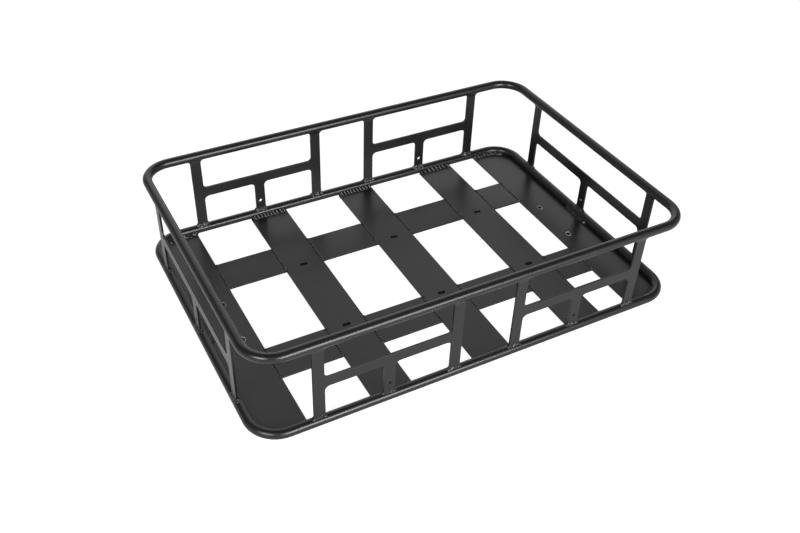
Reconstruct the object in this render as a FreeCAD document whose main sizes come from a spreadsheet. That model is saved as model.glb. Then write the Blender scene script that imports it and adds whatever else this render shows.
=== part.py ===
"""Roof basket: two bent tube rails, six cut side panels and a floor of welded flat bar.

Millimetres. The origin is under the middle of the basket, on the plane that it stands on.
X runs along the long side, Y from front to rear, Z up.
"""
import FreeCAD, Part
import math
import os
import re
import Sketcher

# Driving sizes
SIZES = {
    # overall, over the outside of the rails
    "basket_length": 660,
    "basket_width": 460,
    "basket_height": 145,
    # round tube rails
    "rail_diameter": 13.5,
    "bend_radius": 40,
    # flat cut side panels
    "panel_thickness": 3,
    "long_panel_length": 211,
    "long_panel_gap": 79,
    "side_panel_length": 302,
    "side_panel_set_out": 1.5,
    "side_panel_shift": 2,
    "upright_width": 16,
    "bar_height": 16,
    "bar_centre_height": 72.5,
    "leg_width": 16,
    "leg_hole_diameter": 5.5,
    "leg_hole_height": 30,
    "upper_window_radius": 6,
    "lower_window_radius": 7,
    # flat bar floor
    "plate_thickness": 3,
    "slat_width": 60,
    "slat_pitch": 155,
    "middle_slat_offset": 20,
    "end_plate_width": 62,
    "strip_width": 60,
    "strip_spacing": 200,
    # slots in the floor
    "slat_slot_length": 12,
    "slat_slot_width": 6,
    "slat_slot_spacing": 150,
    "end_slot_length": 9,
    "end_slot_width": 6,
    "end_slot_spacing": 80,
    "end_slot_inset": 54,
}

# Places worked out from the driving sizes
RAIL_X = "(basket_length / 2 - rail_diameter / 2)"
RAIL_Y = "(basket_width / 2 - rail_diameter / 2)"
# A plate lies level with the underside of the rail, and its upper edge meets the tube
# this far in from the tube's centreline
SEAT = "sqrt(plate_thickness * (rail_diameter - plate_thickness))"
END_EDGE = f"({RAIL_X} - {SEAT} - end_plate_width)"
SLAT_X = {
    "left_slat": "(middle_slat_offset - slat_pitch)",
    "middle_slat": "middle_slat_offset",
    "right_slat": "(middle_slat_offset + slat_pitch)",
}
BAR_TOP = "(bar_centre_height + bar_height / 2)"
BAR_BOTTOM = "(bar_centre_height - bar_height / 2)"

# Sketch references: the origin, the two axes, and the points of a line, arc or circle
ORIGIN = -1
X_AXIS = -1
Y_AXIS = -2
START, END, CENTRE = range(1, 4)

doc = FreeCAD.newDocument("roof_basket")
sheet = doc.addObject("Spreadsheet::Sheet", "Sizes")
for row, (alias, number) in enumerate(SIZES.items(), start=1):
    sheet.set(f"A{row}", alias)
    sheet.set(f"B{row}", str(number))
    sheet.setAlias(f"B{row}", alias)
doc.recompute()

nodes = []


def cells(text):
    """Turn size names in a formula into references to the sheet."""
    return re.sub(r"[a-z_]+", lambda m: f"Sizes.{m[0]}" if m[0] in SIZES else m[0], text)


def value(text):
    """The number that a formula gives now."""
    return float(sheet.evalExpression(cells(text)))


def new_body(label):
    body = doc.addObject("PartDesign::Body", label)
    body.Label = label
    nodes.append(body)
    return body


def place(body, turn=0, **formulas):
    """Turn a body about Z in degrees and bind its position to formulas."""
    body.Placement.Rotation = FreeCAD.Rotation(FreeCAD.Vector(0, 0, 1), turn)
    for axis, formula in formulas.items():
        body.setExpression(f"Placement.Base.{axis}", cells(formula))


def origin_plane(body, role):
    return next(feature for feature in body.Origin.OriginFeatures if feature.Role == role)


def new_sketch(body, name, role):
    sketch = body.newObject("Sketcher::SketchObject", name)
    sketch.AttachmentSupport = (origin_plane(body, role), [""])
    sketch.MapMode = "FlatFace"
    return sketch


def dimension(sketch, kind, *refs, formula):
    """Add a driving dimension and bind it to a formula."""
    index = sketch.addConstraint(Sketcher.Constraint(kind, *refs, value(formula)))
    sketch.setExpression(f"Constraints[{index}]", cells(formula))


def constrain(sketch, kind, *refs):
    sketch.addConstraint(Sketcher.Constraint(kind, *refs))


def line(sketch, start, end):
    return sketch.addGeometry(Part.LineSegment(FreeCAD.Vector(*start, 0), FreeCAD.Vector(*end, 0)))


def arc(sketch, centre, radius, first, last):
    """An arc given by its two angles in degrees, anticlockwise."""
    circle = Part.Circle(FreeCAD.Vector(*centre, 0), FreeCAD.Vector(0, 0, 1), radius)
    return sketch.addGeometry(Part.ArcOfCircle(circle, math.radians(first), math.radians(last)))


def ring(sketch, centre, diameter):
    """A full circle whose diameter is a formula."""
    circle = Part.Circle(FreeCAD.Vector(*centre, 0), FreeCAD.Vector(0, 0, 1), value(diameter) / 2)
    index = sketch.addGeometry(circle)
    dimension(sketch, "Diameter", index, formula=diameter)
    return index


def locate(sketch, axis, index, point, formula):
    """Set one coordinate of a point from the origin; dimensions are never negative."""
    if value(formula) < 0:
        dimension(sketch, f"Distance{axis}", index, point, ORIGIN, START, formula=f"-({formula})")
    else:
        dimension(sketch, f"Distance{axis}", ORIGIN, START, index, point, formula=formula)


def box_lines(sketch, left, bottom, width, height):
    """Four joined lines, level and upright: bottom, right, top, left."""
    corners = [
        (left, bottom),
        (left + width, bottom),
        (left + width, bottom + height),
        (left, bottom + height),
    ]
    sides = [line(sketch, corners[i], corners[(i + 1) % 4]) for i in range(4)]
    for i in range(4):
        constrain(sketch, "Coincident", sides[i], END, sides[(i + 1) % 4], START)
        constrain(sketch, "Vertical" if i % 2 else "Horizontal", sides[i])
    return sides


def rectangle(sketch, left, bottom, width, height):
    """A rectangle whose lower left corner and sizes are formulas."""
    sides = box_lines(sketch, value(left), value(bottom), value(width), value(height))
    locate(sketch, "X", sides[0], START, left)
    locate(sketch, "Y", sides[0], START, bottom)
    dimension(sketch, "DistanceX", sides[0], START, sides[0], END, formula=width)
    dimension(sketch, "DistanceY", sides[1], START, sides[1], END, formula=height)


def centred_rectangle(sketch, width, height):
    """A rectangle about the origin."""
    w, h = value(width), value(height)
    sides = box_lines(sketch, -w / 2, -h / 2, w, h)
    constrain(sketch, "Symmetric", sides[0], START, sides[1], END, ORIGIN, START)
    dimension(sketch, "DistanceX", sides[0], START, sides[0], END, formula=width)
    dimension(sketch, "DistanceY", sides[1], START, sides[1], END, formula=height)


def slot(sketch, x, y, length, width, along):
    """A round-ended slot along X or Y, centred on the formulas x and y."""
    radius = value(width) / 2
    reach = f"({length} - {width}) / 2"
    centres = []
    for sign in "+-":
        centres.append([f"{x} {sign} {reach}", y] if along == "X" else [x, f"{y} {sign} {reach}"])
    spots = [(value(cx), value(cy)) for cx, cy in centres]
    first = {"X": -90, "Y": 0}[along]
    arcs = [
        arc(sketch, spots[0], radius, first, first + 180),
        arc(sketch, spots[1], radius, first - 180, first),
    ]
    dx, dy = {"X": (0, radius), "Y": (-radius, 0)}[along]
    far = [(cx + dx, cy + dy) for cx, cy in spots]
    near = [(cx - dx, cy - dy) for cx, cy in spots]
    lines = [line(sketch, far[0], far[1]), line(sketch, near[1], near[0])]
    for i in range(2):
        constrain(sketch, "Tangent", arcs[i], END, lines[i], START)
        constrain(sketch, "Tangent", lines[i], END, arcs[1 - i], START)
        locate(sketch, "X", arcs[i], CENTRE, centres[i][0])
        locate(sketch, "Y", arcs[i], CENTRE, centres[i][1])
    constrain(sketch, "Equal", arcs[0], arcs[1])
    dimension(sketch, "Radius", arcs[0], formula=f"{width} / 2")


def pad(body, name, sketch, thickness, both_ways=False):
    feature = body.newObject("PartDesign::Pad", name)
    feature.Profile = sketch
    feature.setExpression("Length", cells(thickness))
    feature.Midplane = both_ways
    return feature


def pocket(body, name, sketch):
    """Cut a sketch right through, both ways."""
    feature = body.newObject("PartDesign::Pocket", name)
    feature.Profile = sketch
    feature.Type = "ThroughAll"
    feature.Midplane = True
    return feature


def mirror(body, name, feature, role):
    copy = body.newObject("PartDesign::Mirrored", name)
    copy.Originals = [feature]
    copy.MirrorPlane = (origin_plane(body, role), [""])
    body.Tip = copy
    return copy


def round_edges(body, name, base, axes, corners, radius):
    """Fillet the edges that run through the sheet at the given corners."""
    doc.recompute()
    names = []
    for index, edge in enumerate(base.Shape.Edges, start=1):
        spots = [[getattr(vertex.Point, axis) for axis in axes] for vertex in edge.Vertexes]
        for corner in corners:
            if all(abs(a - b) < 1e-4 for spot in spots for a, b in zip(spot, corner)):
                names.append(f"Edge{index}")
    feature = body.newObject("PartDesign::Fillet", name)
    feature.Base = (base, names)
    feature.setExpression("Radius", cells(radius))
    return feature


def rail_path(body):
    """The tube's centreline: a loop that starts and ends at the weld in the front run."""
    sketch = new_sketch(body, f"{body.Label}_path", "XY_Plane")
    x = value(RAIL_X)
    y = value(RAIL_Y)
    r = value("bend_radius")
    runs = [
        line(sketch, (0, -y), (x - r, -y)),
        line(sketch, (x, r - y), (x, y - r)),
        line(sketch, (x - r, y), (r - x, y)),
        line(sketch, (-x, y - r), (-x, r - y)),
        line(sketch, (r - x, -y), (0, -y)),
    ]
    bends = [
        arc(sketch, (x - r, r - y), r, -90, 0),
        arc(sketch, (x - r, y - r), r, 0, 90),
        arc(sketch, (r - x, y - r), r, 90, 180),
        arc(sketch, (r - x, r - y), r, 180, 270),
    ]
    for i, bend in enumerate(bends):
        constrain(sketch, "Tangent", runs[i], END, bend, START)
        constrain(sketch, "Tangent", bend, END, runs[i + 1], START)
    for bend in bends[1:]:
        constrain(sketch, "Equal", bends[0], bend)
    constrain(sketch, "Coincident", runs[4], END, runs[0], START)
    constrain(sketch, "PointOnObject", runs[0], START, Y_AXIS)
    for i in (0, 2, 4):
        constrain(sketch, "Horizontal", runs[i])
    for i in (1, 3):
        constrain(sketch, "Vertical", runs[i])
    dimension(sketch, "Radius", bends[0], formula="bend_radius")
    locate(sketch, "Y", runs[0], START, f"-{RAIL_Y}")
    locate(sketch, "Y", runs[2], START, RAIL_Y)
    locate(sketch, "X", runs[1], START, RAIL_X)
    locate(sketch, "X", runs[3], START, f"-{RAIL_X}")
    return sketch


def rail_section(body):
    sketch = new_sketch(body, f"{body.Label}_section", "YZ_Plane")
    tube = ring(sketch, (-value(RAIL_Y), 0), "rail_diameter")
    locate(sketch, "X", tube, CENTRE, f"-{RAIL_Y}")
    constrain(sketch, "PointOnObject", tube, CENTRE, X_AXIS)
    return sketch


def rail(label, height):
    """A closed loop of tube, solid inside, its centreline at a height above the floor."""
    body = new_body(label)
    path = rail_path(body)
    sweep = body.newObject("PartDesign::AdditivePipe", f"{label}_tube")
    sweep.Profile = rail_section(body)
    sweep.Spine = (path, [f"Edge{i}" for i in range(1, len(path.Geometry) + 1)])
    place(body, z=height)


def panel(label, length, turn, x, y):
    """A cut panel between the rails; x and y place its left foot as seen from the front."""
    body = new_body(label)
    outline = new_sketch(body, f"{label}_outline", "XZ_Plane")
    rectangle(outline, "0", "rail_diameter", length, "basket_height - 2 * rail_diameter")
    pad(body, f"{label}_plate", outline, "panel_thickness", both_ways=True)
    windows = new_sketch(body, f"{label}_windows", "XZ_Plane")
    inside = f"({length} - 2 * upright_width)"
    lower = f"(({inside} - leg_width) / 2)"
    rectangle(windows, "upright_width", BAR_TOP, inside, f"basket_height - {BAR_TOP}")
    rectangle(windows, "upright_width", "0", lower, BAR_BOTTOM)
    rectangle(windows, f"({length} + leg_width) / 2", "0", lower, BAR_BOTTOM)
    pocket(body, f"{label}_openings", windows)
    hole = new_sketch(body, f"{label}_hole", "XZ_Plane")
    drill = ring(hole, (value(f"{length} / 2"), value("leg_hole_height")), "leg_hole_diameter")
    locate(hole, "X", drill, CENTRE, f"{length} / 2")
    locate(hole, "Y", drill, CENTRE, "leg_hole_height")
    drilled = pocket(body, f"{label}_leg_hole", hole)
    left = value("upright_width")
    right = value(f"{length} - upright_width")
    leg = [value(f"({length} - leg_width) / 2"), value(f"({length} + leg_width) / 2")]
    above = [(side, value(BAR_TOP)) for side in (left, right)]
    below = [(side, value(BAR_BOTTOM)) for side in (left, *leg, right)]
    upper = round_edges(body, f"{label}_upper_corners", drilled, "xz", above, "upper_window_radius")
    round_edges(body, f"{label}_lower_corners", upper, "xz", below, "lower_window_radius")
    place(body, turn=turn, x=x, y=y)


def slat(label, x):
    """A flat bar across the floor with two slots."""
    body = new_body(label)
    outline = new_sketch(body, f"{label}_outline", "XY_Plane")
    centred_rectangle(outline, "slat_width", f"2 * ({RAIL_Y} - {SEAT})")
    pad(body, f"{label}_plate", outline, "plate_thickness")
    cut = new_sketch(body, f"{label}_slot", "XY_Plane")
    slot(cut, "0", "slat_slot_spacing / 2", "slat_slot_length", "slat_slot_width", "X")
    rear = pocket(body, f"{label}_rear_slot", cut)
    mirror(body, f"{label}_front_slot", rear, "XZ_Plane")
    place(body, x=x)


def end_plate(label, turn, x):
    """A floor plate along a short side; it lies outward of its inner edge along its own X."""
    body = new_body(label)
    outline = new_sketch(body, f"{label}_outline", "XY_Plane")
    width = value("end_plate_width")
    depth = f"2 * ({RAIL_Y} - {SEAT})"
    half = value(depth) / 2
    sides = box_lines(outline, 0, -half, width, 2 * half)
    constrain(outline, "Symmetric", sides[3], START, sides[3], END, ORIGIN, START)
    dimension(outline, "DistanceX", sides[0], START, sides[0], END, formula="end_plate_width")
    dimension(outline, "DistanceY", sides[1], START, sides[1], END, formula=depth)
    plate = pad(body, f"{label}_plate", outline, "plate_thickness")
    corners = [(width, -half), (width, half)]
    round_edges(body, f"{label}_corners", plate, "xy", corners, f"bend_radius - {SEAT}")
    cut = new_sketch(body, f"{label}_slot", "XY_Plane")
    across = f"(basket_length / 2 - end_slot_inset - {END_EDGE})"
    slot(cut, across, "end_slot_spacing / 2", "end_slot_length", "end_slot_width", "Y")
    first = pocket(body, f"{label}_first_slot", cut)
    mirror(body, f"{label}_second_slot", first, "XZ_Plane")
    place(body, turn=turn, x=x)


def strip(label, start, stop, y):
    """A short flat strip welded between two floor plates, flush with them."""
    body = new_body(label)
    outline = new_sketch(body, f"{label}_outline", "XY_Plane")
    centred_rectangle(outline, f"{stop} - {start}", "strip_width")
    pad(body, f"{label}_plate", outline, "plate_thickness")
    place(body, x=f"({stop} + {start}) / 2", y=y)


# Rails
rail("bottom_rail", "rail_diameter / 2")
rail("top_rail", "basket_height - rail_diameter / 2")

# Panels, two on each long side and one on each short side
for side, sign in (("front", "-"), ("rear", "")):
    panel(f"{side}_left_panel", "long_panel_length", 0,
          "-long_panel_gap / 2 - long_panel_length", f"{sign}{RAIL_Y}")
    panel(f"{side}_right_panel", "long_panel_length", 0, "long_panel_gap / 2", f"{sign}{RAIL_Y}")
for side, sign in (("left", "-"), ("right", "")):
    panel(f"{side}_panel", "side_panel_length", 90,
          f"{sign}({RAIL_X} + side_panel_set_out)", "-side_panel_length / 2 - side_panel_shift")

# Floor
end_plate("left_end_plate", 180, f"-{END_EDGE}")
end_plate("right_end_plate", 0, END_EDGE)
for label, x in SLAT_X.items():
    slat(label, x)
starts = [f"(-{END_EDGE})"] + [f"({x} + slat_width / 2)" for x in SLAT_X.values()]
stops = [f"({x} - slat_width / 2)" for x in SLAT_X.values()] + [END_EDGE]
for side, sign in (("front", "-"), ("rear", "")):
    for name, start, stop in zip(("left", "mid_left", "mid_right", "right"), starts, stops):
        strip(f"{side}_strip_{name}", start, stop, f"{sign}strip_spacing / 2")

# Checks, then the files
doc.recompute()
for thing in doc.Objects:
    if {"Invalid", "Error"} & set(thing.State):
        raise RuntimeError(f"{thing.Label} failed: {thing.State}")
for body in nodes:
    if body.Shape.isNull() or not body.Shape.isValid() or len(body.Shape.Solids) != 1:
        raise RuntimeError(f"{body.Label} is not one valid solid")
os.makedirs("parts", exist_ok=True)
for body in nodes:
    body.Shape.exportStep(f"parts/{body.Label}.step")
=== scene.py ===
"""Looks of the roof basket: powder coat, weld beads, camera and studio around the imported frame.

Lengths are millimetres times MM, because the frame is in metres. X runs along the long side,
Y from front to rear, Z up. Values whose names end in WAVES are noise cells to the metre.
"""
from collections import namedtuple
import math

import bmesh
import bpy
from mathutils import Matrix, Vector, noise


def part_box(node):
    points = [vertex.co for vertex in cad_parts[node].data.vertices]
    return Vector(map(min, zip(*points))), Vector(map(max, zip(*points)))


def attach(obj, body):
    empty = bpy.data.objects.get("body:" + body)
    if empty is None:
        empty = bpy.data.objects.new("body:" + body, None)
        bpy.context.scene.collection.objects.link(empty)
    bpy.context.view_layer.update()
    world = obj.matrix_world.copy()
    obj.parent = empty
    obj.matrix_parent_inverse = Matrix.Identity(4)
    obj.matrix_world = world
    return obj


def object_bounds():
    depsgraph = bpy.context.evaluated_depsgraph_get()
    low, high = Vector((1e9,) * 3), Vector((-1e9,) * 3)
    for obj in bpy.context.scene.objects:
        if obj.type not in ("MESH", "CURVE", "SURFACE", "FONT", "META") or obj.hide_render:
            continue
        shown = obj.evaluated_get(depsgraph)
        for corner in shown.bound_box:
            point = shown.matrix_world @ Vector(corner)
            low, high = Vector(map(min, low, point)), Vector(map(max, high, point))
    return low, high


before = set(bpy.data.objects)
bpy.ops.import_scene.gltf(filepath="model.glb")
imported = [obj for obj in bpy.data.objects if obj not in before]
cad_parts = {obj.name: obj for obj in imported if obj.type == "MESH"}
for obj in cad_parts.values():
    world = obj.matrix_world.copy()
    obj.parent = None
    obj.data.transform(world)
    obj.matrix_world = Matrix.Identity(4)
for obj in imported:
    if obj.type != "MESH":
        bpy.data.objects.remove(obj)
cad_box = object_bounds()

MM = 0.001

# Camera at the photograph's viewpoint
CAMERA_PLACE = Vector((-537.78, -934.02, 886.01)) * MM
CAMERA_AZIMUTH = math.radians(-29.494)
CAMERA_ELEVATION = math.radians(39.3)
CAMERA_ROLL = math.radians(2.234)
CAMERA_LENS = 41.226
CAMERA_SENSOR = 36.0

# Sizes read off the frame
rail_low, rail_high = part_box("bottom_rail")
RAIL_R = (rail_high[2] - rail_low[2]) / 2
RAIL_X = rail_high[0] - RAIL_R
RAIL_Y = rail_high[1] - RAIL_R
TOP_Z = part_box("top_rail")[1][2]
PLATE_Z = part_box("middle_slat")[1][2]
# A plate's upper edge meets the tube this far in from the tube's centreline
SEAT = math.sqrt(PLATE_Z * (2 * RAIL_R - PLATE_Z))

# Sizes of the basket that the frame's boxes don't show
BEND_R = 40 * MM
UPRIGHT = 16 * MM
LEG = 16 * MM

# Powder coat: noise scales from fine grain to broad patches, and how they share the work
GRAIN_SCALE = 1500
PEEL_SCALE = 330
PATCH_SCALE = 16
NOISE_LOW = 0.3
NOISE_HIGH = 0.7
GRAIN_IN_TONE = 0.5
PEEL_IN_GLOSS = 0.4
GRAIN_IN_BUMP = 0.4
COOL_TINT = 1.02
COAT_IOR = 1.46
GLOSS_SPREAD = 0.03
BUMP_STRENGTH = 0.5


def coat_material(name, dark, light, rough, grain_depth):
    """Satin black powder coat: fine grain, orange peel, and soft patches in tone and gloss."""
    material = bpy.data.materials.new(name)
    material.use_nodes = True
    tree = material.node_tree
    shader = tree.nodes["Principled BSDF"]
    shader.inputs["IOR"].default_value = COAT_IOR
    place = tree.nodes.new("ShaderNodeTexCoord")

    def noise_node(scale, detail):
        node = tree.nodes.new("ShaderNodeTexNoise")
        node.inputs["Scale"].default_value = scale
        node.inputs["Detail"].default_value = detail
        tree.links.new(place.outputs["Object"], node.inputs["Vector"])
        return node.outputs["Fac"]

    def mix(first, second, share):
        node = tree.nodes.new("ShaderNodeMix")
        node.inputs["Factor"].default_value = share
        tree.links.new(first, node.inputs["A"])
        tree.links.new(second, node.inputs["B"])
        return node.outputs["Result"]

    grain = noise_node(GRAIN_SCALE, detail=2)
    peel = noise_node(PEEL_SCALE, detail=2)
    patch = noise_node(PATCH_SCALE, detail=3)
    ramp = tree.nodes.new("ShaderNodeValToRGB")
    ends = ramp.color_ramp.elements
    for end, position, tone in zip(ends, (NOISE_LOW, NOISE_HIGH), (dark, light)):
        end.position = position
        end.color = (tone, tone, tone * COOL_TINT, 1)
    tree.links.new(mix(patch, grain, GRAIN_IN_TONE), ramp.inputs["Fac"])
    tree.links.new(ramp.outputs["Color"], shader.inputs["Base Color"])
    gloss = tree.nodes.new("ShaderNodeMapRange")
    gloss.inputs["From Min"].default_value = NOISE_LOW
    gloss.inputs["From Max"].default_value = NOISE_HIGH
    gloss.inputs["To Min"].default_value = rough - GLOSS_SPREAD
    gloss.inputs["To Max"].default_value = rough + GLOSS_SPREAD
    tree.links.new(mix(patch, peel, PEEL_IN_GLOSS), gloss.inputs["Value"])
    tree.links.new(gloss.outputs["Result"], shader.inputs["Roughness"])
    bump = tree.nodes.new("ShaderNodeBump")
    bump.inputs["Strength"].default_value = BUMP_STRENGTH
    bump.inputs["Distance"].default_value = grain_depth
    tree.links.new(mix(peel, grain, GRAIN_IN_BUMP), bump.inputs["Height"])
    tree.links.new(bump.outputs["Normal"], shader.inputs["Normal"])
    return material


COAT = coat_material(
    "black_powder_coat", dark=0.0065, light=0.0105, rough=0.3, grain_depth=0.004 * MM)
WELD_COAT = coat_material(
    "black_powder_coat_on_welds", dark=0.0065, light=0.0105, rough=0.27, grain_depth=0.012 * MM)
# Painted highlight: a much lighter coat for the slot lips, standing in for the light their rims catch
LIP_HIGHLIGHT_COAT = coat_material(
    "black_powder_coat_painted_highlight", dark=0.08, light=0.36, rough=0.35, grain_depth=0.012 * MM)


def piece(name, points, faces, material=WELD_COAT):
    """A coated mesh that rides with the basket."""
    mesh = bpy.data.meshes.new(name)
    mesh.from_pydata(points, [], faces)
    shape = bmesh.new()
    shape.from_mesh(mesh)
    bmesh.ops.recalc_face_normals(shape, faces=shape.faces)
    shape.to_mesh(mesh)
    shape.free()
    mesh.polygons.foreach_set("use_smooth", [True] * len(mesh.polygons))
    mesh.materials.append(material)
    obj = bpy.data.objects.new(name, mesh)
    bpy.context.scene.collection.objects.link(obj)
    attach(obj, "root")


def skin(rings, points, faces, loop=False):
    """Join closed rings of points into one closed surface, added to points and faces."""
    base = len(points)
    count = len(rings[0])
    for ring in rings:
        points.extend(ring)
    spans = len(rings) if loop else len(rings) - 1
    for i in range(spans):
        here = base + i * count
        there = base + (i + 1) % len(rings) * count
        for j in range(count):
            k = (j + 1) % count
            faces.append((here + j, here + k, there + k, there + j))
    if not loop:
        faces.append(tuple(base + j for j in reversed(range(count))))
        faces.append(tuple(base + (len(rings) - 1) * count + j for j in range(count)))


def wander(*spot):
    """Smooth repeatable variation between about -1 and 1.

    The seeds and plain numbers given to it pick separate slices of the same noise.
    """
    return noise.noise(Vector(spot))


# Welds: the share of the pitch on which a scale rises, fine lumps, and how blunt a run ends
SCALE_RISE = 0.22
LUMP_WAVES = 420
END_BLUNT = 0.02 * MM


def scale_ripple(phase):
    """The overlapping scales of a weld: a short rise from 0 to 1, then a long fall."""
    part = phase % 1
    if part < SCALE_RISE:
        return part / SCALE_RISE
    return (1 - part) / (1 - SCALE_RISE)


# Beads along the bottom rail, from a toe on the plate to a crest on the tube
BEAD_STEP = 0.3 * MM
BEAD_ROUND = 10
BEAD_TOE = 7.0 * MM
BEAD_CREST = 9.4 * MM
BEAD_TAPER = 3 * MM
BEAD_PITCH = 5.6 * MM
BEAD_RISE = 1.0 * MM
BEAD_SLANT = 0.35
BEAD_STRAY = 0.35
BEAD_LUMP = 1.2 * MM
BEAD_LUMPS = 0.08
BEAD_SINK = 0.25 * MM
BEAD_ROOT_BACK = 1.6 * MM
BEAD_ROOT_DOWN = 0.5 * MM
# Direction that the face of a bead looks in, inwards and up
BEAD_FACE_IN = 0.72
BEAD_FACE_UP = 0.69
BEAD_TOE_WAVES = 160
BEAD_CREST_WAVES = 130
BEAD_STRAY_WAVES = 60


def straight(start, stop, inward):
    """Spots along a straight run of the rail: centreline place and inward direction."""
    start = Vector(start)
    stop = Vector(stop)
    count = max(2, round((stop - start).length / BEAD_STEP))
    return [(start.lerp(stop, i / count), Vector(inward)) for i in range(count + 1)]


def bend(sign_x, sign_y, first, last):
    """Spots round a bend, by angles in degrees from the long run to the short run."""
    centre = Vector((sign_x * (RAIL_X - BEND_R), sign_y * (RAIL_Y - BEND_R), 0))
    count = round(math.radians(last - first) * BEND_R / BEAD_STEP)
    spots = []
    for i in range(count + 1):
        angle = math.radians(first + (last - first) * i / count)
        outward = Vector((sign_x * math.sin(angle), sign_y * math.cos(angle), 0))
        spots.append((centre + outward * BEND_R, -outward))
    return spots


def rail_bead(spots, seed, points, faces, size=1.0, lumps=BEAD_LUMPS, rise=BEAD_RISE, pitch=BEAD_PITCH):
    """A fillet weld between a floor plate and the rail, with slanted scales."""
    rings = []
    travel = 0.0
    last = spots[0][0]
    total = sum((b[0] - a[0]).length for a, b in zip(spots, spots[1:]))
    for place, inward in spots:
        travel += (place - last).length
        last = place
        end = min(travel, total - travel)
        swell = min(1.0, math.sqrt(max(END_BLUNT, end) / BEAD_TAPER))
        uneven = 1 + lumps * wander(travel * BEAD_TOE_WAVES, seed, 0.5)
        toe = SEAT + BEAD_TOE * size * swell * uneven
        climb = (BEAD_CREST - PLATE_Z) * size * swell
        crest = PLATE_Z + climb * (1 + 0.5 * lumps * wander(travel * BEAD_CREST_WAVES, seed, 7.5))
        crest_in = math.sqrt(max(0.0, RAIL_R ** 2 - (crest - RAIL_R) ** 2))
        stray = BEAD_STRAY * wander(travel * BEAD_STRAY_WAVES, seed, 3.5)
        ring = []
        for k in range(BEAD_ROUND + 1):
            t = k / BEAD_ROUND
            hump = math.sin(math.pi * t)
            ripple = rise * (scale_ripple(travel / pitch + stray + BEAD_SLANT * t) - 0.5)
            lift = swell * (hump ** 0.5 * ripple)
            lift += hump * lumps * BEAD_LUMP * wander(travel * LUMP_WAVES, t * 2.5, seed)
            lift -= BEAD_SINK * (1 - hump)
            reach = toe + (crest_in - toe) * t + BEAD_FACE_IN * lift
            z = PLATE_Z + (crest - PLATE_Z) * t + BEAD_FACE_UP * lift
            ring.append(place + inward * reach + Vector((0, 0, z)))
        root = Vector((0, 0, PLATE_Z - BEAD_ROOT_DOWN))
        ring.append(place + inward * (SEAT - BEAD_ROOT_BACK) + root)
        rings.append(ring)
    skin(rings, points, faces)


# Beads at the slats' ends, with how coarse each slat's scales are
SLAT_BEADS = {"left_slat": 1.0, "middle_slat": 1.0, "right_slat": 1.4}
SLAT_SEED = 11.0


def weld_slats():
    """Beads where the slats end on the long runs of the bottom rail."""
    for index, (name, coarse) in enumerate(SLAT_BEADS.items()):
        low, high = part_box(name)
        points = []
        faces = []
        for side in (-1, 1):
            y = side * RAIL_Y
            spots = straight((low[0], y, 0), (high[0], y, 0), (0, -side, 0))
            seed = SLAT_SEED + 2 * index + side
            rail_bead(spots, seed, points, faces, rise=BEAD_RISE * coarse, pitch=BEAD_PITCH * coarse)
        piece(f"weld_{name}_ends", points, faces)


# Beads round the end plates
END_PLATES = (("left_end_plate", -1), ("right_end_plate", 1))
CORNER_SEED = 31.0
CORNER_BEAD_SIZE = 0.85
CORNER_BEAD_LUMPS = 0.4
CORNER_BEAD_OVERRUN = 2.5 * MM
CORNER_BEAD_FIRST = 1
CORNER_BEAD_LAST = 52
MID_SEED = 41.0
MID_BEAD = 54 * MM
MID_BEAD_CENTRE = -4 * MM
MID_BEAD_SIZE = 0.9
MID_BEAD_LUMPS = 0.25
MID_BEAD_RISE = 0.35 * MM


def weld_end_plates():
    """Beads along the end plates' short edges, round their corners, and one on the long edge."""
    for index, (name, sign) in enumerate(END_PLATES):
        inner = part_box(name)[0][0] if sign > 0 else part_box(name)[1][0]
        points = []
        faces = []
        for side in (-1, 1):
            y = side * RAIL_Y
            begin = inner - sign * CORNER_BEAD_OVERRUN
            corner = sign * (RAIL_X - BEND_R)
            spots = straight((begin, y, 0), (corner, y, 0), (0, -side, 0))
            spots += bend(sign, side, CORNER_BEAD_FIRST, CORNER_BEAD_LAST)
            seed = CORNER_SEED + 4 * index + side
            rail_bead(spots, seed, points, faces, size=CORNER_BEAD_SIZE, lumps=CORNER_BEAD_LUMPS)
        x = sign * RAIL_X
        start = MID_BEAD_CENTRE - MID_BEAD / 2
        spots = straight((x, start, 0), (x, start + MID_BEAD, 0), (-sign, 0, 0))
        rail_bead(spots, MID_SEED + index, points, faces,
                  size=MID_BEAD_SIZE, lumps=MID_BEAD_LUMPS, rise=MID_BEAD_RISE)
        piece(f"weld_{name}", points, faces)


# Seams between the strips and the plates, with a bump at each end
SEAM_SEED = 51.0
SEAM_STEP = 0.4 * MM
SEAM_ROUND = 8
SEAM_WIDTH = 4.0 * MM
SEAM_UNEVEN = 0.45
SEAM_TAPER = 1.5 * MM
SEAM_BUMP = 0.9
SEAM_BUMP_LENGTH = 3 * MM
SEAM_RISE = 1.25 * MM
SEAM_PITCH = 3.4 * MM
SEAM_BOW = 0.5
SEAM_STRAY = 0.6
SEAM_DRIFT = 0.5 * MM
SEAM_LUMP = 0.5 * MM
SEAM_SINK = 0.1 * MM
SEAM_ROOT = 1.0 * MM
SEAM_WIDTH_WAVES = 190
SEAM_DRIFT_WAVES = 70
SEAM_STRAY_WAVES = 90


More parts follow.
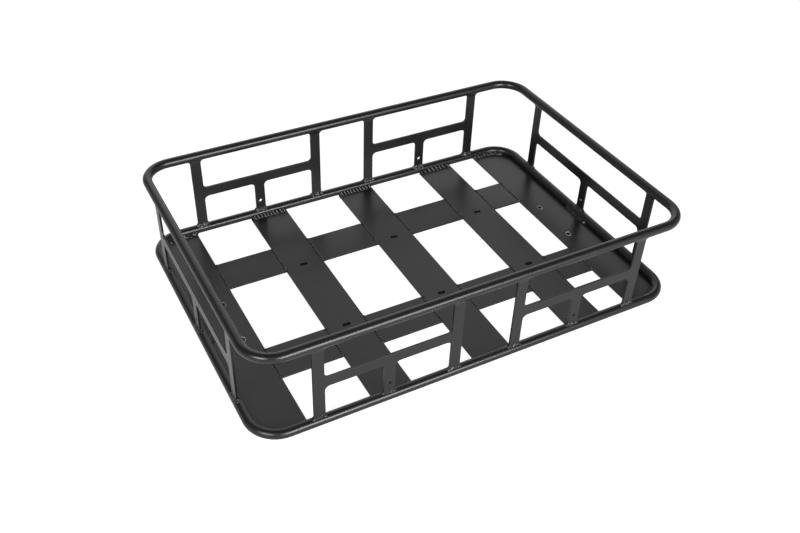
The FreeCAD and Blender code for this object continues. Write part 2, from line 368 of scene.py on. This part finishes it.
def seam(x, low, high, seed, points, faces):
    """A thin raised bead along Y on top of the floor."""
    count = round((high - low) / SEAM_STEP)
    rings = []
    for i in range(count + 1):
        y = low + (high - low) * i / count
        end = min(y - low, high - y)
        swell = min(1.0, math.sqrt(max(END_BLUNT, end) / SEAM_TAPER))
        swell *= 1 + SEAM_BUMP * math.exp(-(end / SEAM_BUMP_LENGTH) ** 2)
        width = SEAM_WIDTH * swell * (1 + SEAM_UNEVEN * wander(y * SEAM_WIDTH_WAVES, seed, 0.5))
        middle = x + SEAM_DRIFT * wander(y * SEAM_DRIFT_WAVES, seed, 4.5)
        stray = SEAM_STRAY * wander(y * SEAM_STRAY_WAVES, seed, 9.5)
        ring = []
        for k in range(SEAM_ROUND + 1):
            t = k / SEAM_ROUND
            hump = math.sin(math.pi * t)
            phase = y / SEAM_PITCH + SEAM_BOW * hump + stray
            rise = SEAM_RISE * swell * hump * (0.5 + 0.5 * scale_ripple(phase))
            rise += SEAM_LUMP * hump * wander(y * LUMP_WAVES, t * 2, seed)
            ring.append(Vector((middle + width * (t - 0.5), y, PLATE_Z - SEAM_SINK + rise)))
        ring.append(Vector((middle, y, PLATE_Z - SEAM_ROOT)))
        rings.append(ring)
    skin(rings, points, faces)


def weld_strips():
    """Two seams on each of the eight strips, one piece for each strip."""
    index = 0
    for side in ("front", "rear"):
        for place in ("left", "mid_left", "mid_right", "right"):
            name = f"{side}_strip_{place}"
            low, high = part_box(name)
            points = []
            faces = []
            for x in (low[0], high[0]):
                seam(x, low[1], high[1], SEAM_SEED + index, points, faces)
                index += 1
            piece(f"weld_{name}", points, faces)


# Collars where the panels stand on the bottom rail and reach the top rail: how far a weld runs
# out at the upright's narrow ends and on its faces, how high, and how rough and full it is
Collar = namedtuple("Collar", "reach_end reach_face height lumps fullness scale_rise")
TOP_COLLAR = Collar(5.6 * MM, 2.4 * MM, 5.2 * MM, lumps=0.1, fullness=0.2, scale_rise=0.0)
FRONT_FOOT = Collar(3.6 * MM, 2.0 * MM, 4.4 * MM, lumps=0.4, fullness=0.3, scale_rise=0.8 * MM)
OTHER_FOOT = Collar(3.6 * MM, 3.6 * MM, 3.6 * MM, lumps=0.7, fullness=0.3, scale_rise=1.12 * MM)
COLLAR_SEED = 71.0
COLLAR_SPACING = 0.45 * MM
CORNER_STEPS = 6
COLLAR_ROUND = 10
COLLAR_SHY = 0.4 * MM
COLLAR_STAND_OFF = 0.25 * MM
COLLAR_SINK = 0.3 * MM
COLLAR_LIMIT = RAIL_R - 0.25 * MM
COLLAR_SCALE_STEPS = 8
COLLAR_SLANT = 0.07
COLLAR_STRAY = 0.8
COLLAR_LUMP = 1.2 * MM
COLLAR_WAVES = 260
COLLAR_FINER = 1.9
# Share of a ripple that goes outwards, and the share that goes up
COLLAR_SLOPE = 0.7


def foot_outline(half_length, half_width):
    """Places round a rectangle with outward directions that turn at its corners."""
    spots = []
    corners = [(1, -1), (1, 1), (-1, 1), (-1, -1)]
    for i, (a, b) in enumerate(corners):
        c, d = corners[(i + 1) % 4]
        here = Vector((a * half_length, b * half_width))
        there = Vector((c * half_length, d * half_width))
        along = (there - here).normalized()
        outward = Vector((along.y, -along.x))
        count = max(2, round((there - here).length / COLLAR_SPACING))
        for k in range(count):
            spots.append((here.lerp(there, k / count), outward))
        for k in range(CORNER_STEPS):
            turn = math.radians(90 * k / CORNER_STEPS)
            direction = Matrix.Rotation(turn, 2) @ outward
            spots.append((there, direction))
    return spots


def collar(foot, top, points, faces, seed):
    """A weld round one end of an upright or leg.

    foot gives the end's centre, the rail's centreline across from it, the half width and half
    thickness, and whether the panel runs along X.
    """
    centre, across_rail, half_length, half_width, along_x = foot
    front = along_x and centre.y < 0
    kind = TOP_COLLAR if top else FRONT_FOOT if front else OTHER_FOOT
    outline = foot_outline(half_length - COLLAR_SHY, half_width - COLLAR_SHY)
    rings = []
    for v in range(COLLAR_ROUND + 1):
        t = v / COLLAR_ROUND * math.pi / 2
        run_out = (1 - kind.fullness) * (1 - math.cos(t)) + kind.fullness * math.sin(t)
        run_up = (1 - kind.fullness) * (1 - math.sin(t)) + kind.fullness * math.cos(t)
        bulge = math.sin(2 * t)
        ring = []
        for step, (spot, outward) in enumerate(outline):
            key = (spot.x * COLLAR_WAVES + outward.x, spot.y * COLLAR_WAVES + outward.y)
            fine = (key[0] * COLLAR_FINER, key[1] * COLLAR_FINER + v * 0.5)
            wide = kind.reach_face + (kind.reach_end - kind.reach_face) * abs(outward.x)
            wide *= 1 + kind.lumps * wander(*key, seed)
            tall = kind.height * (1 + kind.lumps * wander(*key, seed + 5))
            phase = step / COLLAR_SCALE_STEPS + COLLAR_SLANT * v + COLLAR_STRAY * wander(*key, seed + 2)
            ripple = kind.lumps * COLLAR_LUMP * bulge * wander(*fine, seed + 9)
            ripple += kind.scale_rise * bulge * (scale_ripple(phase) - 0.5)
            flat = spot + outward * (COLLAR_STAND_OFF + wide * run_out + COLLAR_SLOPE * ripple)
            across = max(-COLLAR_LIMIT, min(COLLAR_LIMIT, across_rail + flat.y))
            flat.y = across - across_rail
            tube = math.sqrt(max(0.0, RAIL_R ** 2 - min(abs(across), RAIL_R) ** 2))
            z = RAIL_R + tube + tall * run_up + COLLAR_SLOPE * ripple - COLLAR_SINK * math.sin(t) ** 2
            if top:
                z = TOP_Z - z
            if along_x:
                ring.append(Vector((centre.x + flat.x, centre.y + flat.y, z)))
            else:
                ring.append(Vector((centre.x + flat.y, centre.y + flat.x, z)))
        rings.append(ring)
    skin(rings, points, faces)


def weld_panels():
    """The collars of each panel: three feet on the bottom rail and two tops on the top rail."""
    names = ("front_left", "front_right", "rear_left", "rear_right", "left", "right")
    for index, name in enumerate(names):
        low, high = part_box(f"{name}_panel")
        low = Vector(low)
        high = Vector(high)
        middle = (low + high) / 2
        along_x = name not in ("left", "right")
        axis = 0 if along_x else 1
        half_width = (high[1 - axis] - low[1 - axis]) / 2
        rail = math.copysign(RAIL_Y if along_x else RAIL_X, middle[1 - axis])
        ends = [(low[axis] + UPRIGHT / 2, UPRIGHT), (high[axis] - UPRIGHT / 2, UPRIGHT)]
        for top in (False, True):
            points = []
            faces = []
            feet = ends if top else ends + [(middle[axis], LEG)]
            for k, (spot, width) in enumerate(feet):
                centre = middle.copy()
                centre[axis] = spot
                foot = (centre, middle[1 - axis] - rail, width / 2, half_width, along_x)
                collar(foot, top, points, faces, COLLAR_SEED + 13 * index + 3 * k + top)
            where = "top" if top else "bottom"
            piece(f"weld_{name}_panel_{where}", points, faces)


# Butt welds that close the two rails, ground nearly flush: place along X and height of the rail
BUTTS = {"bottom": (-2 * MM, RAIL_R), "top": (10 * MM, TOP_Z - RAIL_R)}
BUTT_WIDTH = 2.2 * MM
BUTT_RISE = 0.16 * MM
BUTT_UNEVEN = 0.4
BUTT_SWAY = 0.25 * MM
BUTT_STEPS = 64
# Offset along the rail in widths, and height in rises
BUTT_PROFILE = ((-0.5, -0.2), (-0.3, 0.6), (0, 1), (0.3, 0.6), (0.5, -0.2), (0, -3))
BUTT_SEED_SCALE = 900


def weld_butts():
    """One low ring round each rail, in the middle of the front run."""
    front = cad_box[0][1]
    floor = cad_box[0][2]
    ceiling = cad_box[1][2]
    for name, (x, height) in BUTTS.items():
        seed = x * BUTT_SEED_SCALE
        rings = []
        for i in range(BUTT_STEPS):
            angle = 2 * math.pi * i / BUTT_STEPS
            sway = BUTT_SWAY * wander(i * 0.25, 3.5, seed)
            ring = []
            for offset, lift in BUTT_PROFILE:
                radius = RAIL_R + BUTT_RISE * lift * (1 + BUTT_UNEVEN * wander(i * 0.4, offset, seed))
                y = max(front, -RAIL_Y + radius * math.cos(angle))
                z = min(ceiling, max(floor, height + radius * math.sin(angle)))
                ring.append(Vector((x + sway + BUTT_WIDTH * offset, y, z)))
            rings.append(ring)
        points = []
        faces = []
        skin(rings, points, faces, loop=True)
        piece(f"weld_{name}_rail_butt", points, faces)


# Lips round the end plates' slots and the holes in the side panels' legs: steps out from the
# edge and up from the surface in millimetres
LIP_PROFILE = ((-0.2, -0.5), (-0.2, -0.2), (0.0, 0.25), (0.2, 0.45), (0.4, 0.5),
               (0.65, 0.45), (0.85, 0.25), (1.0, -0.05), (1.05, -0.2), (0.4, -0.7))
LIP_STEPS = 56
LIP_UNEVEN = 0.25
END_SLOT_LENGTH = 9 * MM
END_SLOT_WIDTH = 6 * MM
END_SLOT_SPACING = 80 * MM
END_SLOT_INSET = 54 * MM
SLAT_SLOT_LENGTH = 12 * MM
SLAT_SLOT_WIDTH = 6 * MM
SLAT_SLOT_SPACING = 150 * MM
LEG_HOLE_HEIGHT = 30 * MM
LEG_RIM_RADIUS = 2.5 * MM


def lip(centre, across, up, radius, reach, seed, points, faces):
    """A rolled lip round a slot or hole on the surface with normal up.

    The slot is long at right angles to across: reach is from its centre to the centre of its
    round ends, or 0 for a hole.
    """
    along = up.cross(across)
    rings = []
    for i in range(LIP_STEPS):
        angle = 2 * math.pi * (i + 0.5) / LIP_STEPS
        outward = across * math.cos(angle) + along * math.sin(angle)
        core = centre + along * math.copysign(reach, math.sin(angle))
        scale = MM * (1 + LIP_UNEVEN * wander(2 * math.cos(angle), 2 * math.sin(angle), seed))
        ring = []
        for out, rise in LIP_PROFILE:
            ring.append(core + outward * (radius + out * scale) + up * (rise * scale))
        rings.append(ring)
    skin(rings, points, faces, loop=True)


def slot_lips():
    """Lips round the two slots of each end plate, in a much lighter coat that paints a highlight on
    their rims.
    """
    across = Vector((1, 0, 0))
    up = Vector((0, 0, 1))
    radius = END_SLOT_WIDTH / 2
    reach = END_SLOT_LENGTH / 2 - radius
    for name, sign in END_PLATES:
        x = sign * (cad_box[1][0] - END_SLOT_INSET)
        points = []
        faces = []
        for side in (-1, 1):
            centre = Vector((x, side * END_SLOT_SPACING / 2, PLATE_Z))
            lip(centre, across, up, radius, reach, 5 * side + sign, points, faces)
        # The lips carry the coat with the painted highlight
        piece(f"lips_{name}_slots", points, faces, LIP_HIGHLIGHT_COAT)


def leg_rims():
    """Rims on the inner faces of the side panels, round the holes in their legs."""
    across = Vector((0, 1, 0))
    for name, sign in (("left_panel", -1), ("right_panel", 1)):
        low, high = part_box(name)
        inner = low[0] if sign > 0 else high[0]
        centre = Vector((inner, (low[1] + high[1]) / 2, LEG_HOLE_HEIGHT))
        up = Vector((-sign, 0, 0))
        points = []
        faces = []
        lip(centre, across, up, LEG_RIM_RADIUS, 0.0, 7 + sign, points, faces)
        piece(f"rim_{name}_leg_hole", points, faces)


# Broken edges of the cut plate
JOIN_DISTANCE = 0.01 * MM
EDGE_WIDTH = 0.4 * MM
EDGE_SEGMENTS = 2
EDGE_ANGLE = math.radians(40)


def finish_nodes():
    """Coat the frame's solids and break the sharp edges of the panels, slats and strips.

    The end plates keep their edges, because they lie tight against the rail.
    """
    for name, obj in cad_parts.items():
        obj.data.materials.clear()
        obj.data.materials.append(COAT)
        if "rail" in name or "end_plate" in name:
            continue
        join = obj.modifiers.new("joined_faces", "WELD")
        join.merge_threshold = JOIN_DISTANCE
        edge = obj.modifiers.new("broken_edges", "BEVEL")
        edge.width = EDGE_WIDTH
        edge.segments = EDGE_SEGMENTS
        edge.limit_method = "ANGLE"
        edge.angle_limit = EDGE_ANGLE
        edge.use_clamp_overlap = False
        edge.loop_slide = False
        obj.modifiers.new("flat_faces", "WEIGHTED_NORMAL")


# Studio floor: its paint, how bright the camera sees it, and the painted shade on its glow in
# reflections, darker near the basket and with distance along the direction away from the camera
FLOOR_PAINT = 0.3
FLOOR_GLOW = 0.88
FLOOR_NEAR = 0.25
FLOOR_NEAR_SAMPLES = 8
FLOOR_AWAY = (0.4, 0.9, 0)
FLOOR_REACH = 0.6
FLOOR_GLOW_HERE = 0.95
FLOOR_GLOW_AWAY = 0.35
FLOOR_SIZE = 30.0
FLOOR_DROP = 0.3 * MM
# Painted shade: near-black patches of floor under the slots, so that the slots look dark
SHADE_PAINT = 0.01
SHADE_ROUGHNESS = 0.9
SHADE_MARGIN = 4 * MM
SHADE_LIFT = 0.1 * MM


def floor_material():
    """White studio floor: it shows white to the camera, its glow in reflections carries painted shade
    near the basket and away from the camera, and it keeps the shadow.
    """
    material = bpy.data.materials.new("studio_floor")
    material.use_nodes = True
    tree = material.node_tree
    tree.nodes.clear()

    def calculate(operation, first, second):
        node = tree.nodes.new("ShaderNodeMath")
        node.operation = operation
        tree.links.new(first, node.inputs[0])
        tree.links.new(second, node.inputs[1])
        return node.outputs[0]

    rays = tree.nodes.new("ShaderNodeLightPath")
    near = tree.nodes.new("ShaderNodeAmbientOcclusion")
    near.samples = FLOOR_NEAR_SAMPLES
    near.inputs["Distance"].default_value = FLOOR_NEAR
    place = tree.nodes.new("ShaderNodeTexCoord")
    away = tree.nodes.new("ShaderNodeVectorMath")
    away.operation = "DOT_PRODUCT"
    away.inputs[1].default_value = FLOOR_AWAY
    tree.links.new(place.outputs["Object"], away.inputs[0])
    falling = tree.nodes.new("ShaderNodeMapRange")
    falling.inputs["From Min"].default_value = -FLOOR_REACH
    falling.inputs["From Max"].default_value = FLOOR_REACH
    falling.inputs["To Min"].default_value = FLOOR_GLOW_HERE
    falling.inputs["To Max"].default_value = FLOOR_GLOW_AWAY
    tree.links.new(away.outputs["Value"], falling.inputs["Value"])
    mirrored = calculate("MAXIMUM", rays.outputs["Is Glossy Ray"], rays.outputs["Is Transmission Ray"])
    # Painted shade: ambient occlusion near the basket and a falloff away from the camera darken the
    # glow seen in reflections
    lit = calculate("MULTIPLY", near.outputs["AO"], falling.outputs["Result"])
    shaded = calculate("MULTIPLY", mirrored, lit)
    seen = calculate("MAXIMUM", rays.outputs["Is Camera Ray"], shaded)
    level = tree.nodes.new("ShaderNodeMath")
    level.operation = "MULTIPLY"
    level.inputs[1].default_value = FLOOR_GLOW
    tree.links.new(seen, level.inputs[0])
    glow = tree.nodes.new("ShaderNodeEmission")
    tree.links.new(level.outputs[0], glow.inputs["Strength"])
    diffuse = tree.nodes.new("ShaderNodeBsdfDiffuse")
    diffuse.inputs["Color"].default_value = (FLOOR_PAINT, FLOOR_PAINT, FLOOR_PAINT, 1)
    add = tree.nodes.new("ShaderNodeAddShader")
    tree.links.new(diffuse.outputs[0], add.inputs[0])
    tree.links.new(glow.outputs[0], add.inputs[1])
    out = tree.nodes.new("ShaderNodeOutputMaterial")
    tree.links.new(add.outputs[0], out.inputs["Surface"])
    return material


def painted_shade_material():
    """Painted shade: a near-black floor at the bottom of the slots."""
    material = bpy.data.materials.new("studio_floor_painted_shade")
    material.use_nodes = True
    shader = material.node_tree.nodes["Principled BSDF"]
    shader.inputs["Base Color"].default_value = (SHADE_PAINT, SHADE_PAINT, SHADE_PAINT, 1)
    shader.inputs["Roughness"].default_value = SHADE_ROUGHNESS
    return material


def slot_places():
    """Centres and sizes along X and Y of the slots in the floor plates."""
    places = []
    for name in SLAT_BEADS:
        low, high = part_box(name)
        for side in (-1, 1):
            y = side * SLAT_SLOT_SPACING / 2
            places.append(((low[0] + high[0]) / 2, y, SLAT_SLOT_LENGTH, SLAT_SLOT_WIDTH))
    for sign in (-1, 1):
        x = sign * (cad_box[1][0] - END_SLOT_INSET)
        for side in (-1, 1):
            places.append((x, side * END_SLOT_SPACING / 2, END_SLOT_WIDTH, END_SLOT_LENGTH))
    return places


def make_floor():
    """The floor just under the basket, with a patch of painted shade under each slot."""
    drop = cad_box[0][2] - FLOOR_DROP
    patches = [(0, 0, FLOOR_SIZE, FLOOR_SIZE, drop)]
    for x, y, size_x, size_y in slot_places():
        # Each slot gets a raised patch of painted shade
        patches.append((x, y, size_x + SHADE_MARGIN, size_y + SHADE_MARGIN, drop + SHADE_LIFT))
    points = []
    faces = []
    for x, y, size_x, size_y, z in patches:
        faces.append(tuple(range(len(points), len(points) + 4)))
        for a, b in ((-1, -1), (1, -1), (1, 1), (-1, 1)):
            points.append((x + a * size_x / 2, y + b * size_y / 2, z))
    mesh = bpy.data.meshes.new("studio_floor")
    mesh.from_pydata(points, [], faces)
    mesh.materials.append(floor_material())
    mesh.materials.append(painted_shade_material())
    for face in mesh.polygons[1:]:
        face.material_index = 1
    obj = bpy.data.objects.new("studio_floor", mesh)
    bpy.context.scene.collection.objects.link(obj)


# Lamps and world, in metres and radiance
Softbox = namedtuple("Softbox", "name place target width height radiance")
SOFTBOXES = (
    Softbox("softbox_front", (0.34, -2.2, 0.95), (0.34, 0, 0.7), 1.5, 1.05, radiance=14.0),
    Softbox("softbox_left", (-1.86, -1.26, 1.30), (0, 0, 0.3), 1.0, 1.0, radiance=13.0),
    Softbox("backdrop_glow", (1.1, 2.2, 2.0), (0.9, 0, 1.8), 3.8, 4.0, radiance=0.9),
)
HORIZON_LEVEL = 0.4
HORIZON_ANGLE = math.radians(8)
CEILING_LEVEL = 0.05
CEILING_ANGLE = math.radians(50)


def make_lights():
    """Soft rectangular lamps of the given brightness, each facing its target."""
    for box in SOFTBOXES:
        lamp = bpy.data.lights.new(box.name, "AREA")
        lamp.shape = "RECTANGLE"
        lamp.size = box.width
        lamp.size_y = box.height
        lamp.energy = math.pi * box.width * box.height * box.radiance
        obj = bpy.data.objects.new(box.name, lamp)
        obj.location = box.place
        facing = Vector(box.target) - Vector(box.place)
        obj.rotation_euler = facing.to_track_quat("-Z", "Y").to_euler()
        obj.visible_camera = False
        bpy.context.scene.collection.objects.link(obj)


def make_world():
    """A pale studio at floor level that falls off to a dark ceiling."""
    world = bpy.data.worlds.new("studio")
    bpy.context.scene.world = world
    world.use_nodes = True
    tree = world.node_tree
    sky = tree.nodes["Background"]
    sky.inputs["Color"].default_value = (1, 1, 1, 1)
    place = tree.nodes.new("ShaderNodeTexCoord")
    split = tree.nodes.new("ShaderNodeSeparateXYZ")
    fall = tree.nodes.new("ShaderNodeMapRange")
    fall.interpolation_type = "SMOOTHSTEP"
    fall.inputs["From Min"].default_value = math.sin(HORIZON_ANGLE)
    fall.inputs["From Max"].default_value = math.sin(CEILING_ANGLE)
    fall.inputs["To Min"].default_value = HORIZON_LEVEL
    fall.inputs["To Max"].default_value = CEILING_LEVEL
    tree.links.new(place.outputs["Generated"], split.inputs[0])
    tree.links.new(split.outputs["Z"], fall.inputs["Value"])
    tree.links.new(fall.outputs["Result"], sky.inputs["Strength"])


def make_camera():
    """The camera, looking along its azimuth and elevation, turned by its roll."""
    azimuth, elevation, roll = CAMERA_AZIMUTH, CAMERA_ELEVATION, CAMERA_ROLL
    back = Vector((
        math.sin(azimuth) * math.cos(elevation),
        -math.cos(azimuth) * math.cos(elevation),
        math.sin(elevation),
    ))
    right = Vector((math.cos(azimuth), math.sin(azimuth), 0))
    up = back.cross(right)
    tilted_right = right * math.cos(roll) + up * math.sin(roll)
    tilted_up = up * math.cos(roll) - right * math.sin(roll)
    camera = bpy.data.cameras.new("camera")
    camera.sensor_fit = "HORIZONTAL"
    camera.sensor_width = CAMERA_SENSOR
    camera.lens = CAMERA_LENS
    camera.clip_start = 10 * MM
    obj = bpy.data.objects.new("camera", camera)
    turn = Matrix((tilted_right, tilted_up, back)).transposed().to_4x4()
    obj.matrix_world = Matrix.Translation(CAMERA_PLACE) @ turn
    bpy.context.scene.collection.objects.link(obj)
    bpy.context.scene.camera = obj


finish_nodes()
weld_slats()
weld_end_plates()
weld_strips()
weld_panels()
weld_butts()
slot_lips()
leg_rims()
make_floor()
make_lights()
make_world()
make_camera()
bpy.context.scene.view_settings.view_transform = "Standard"
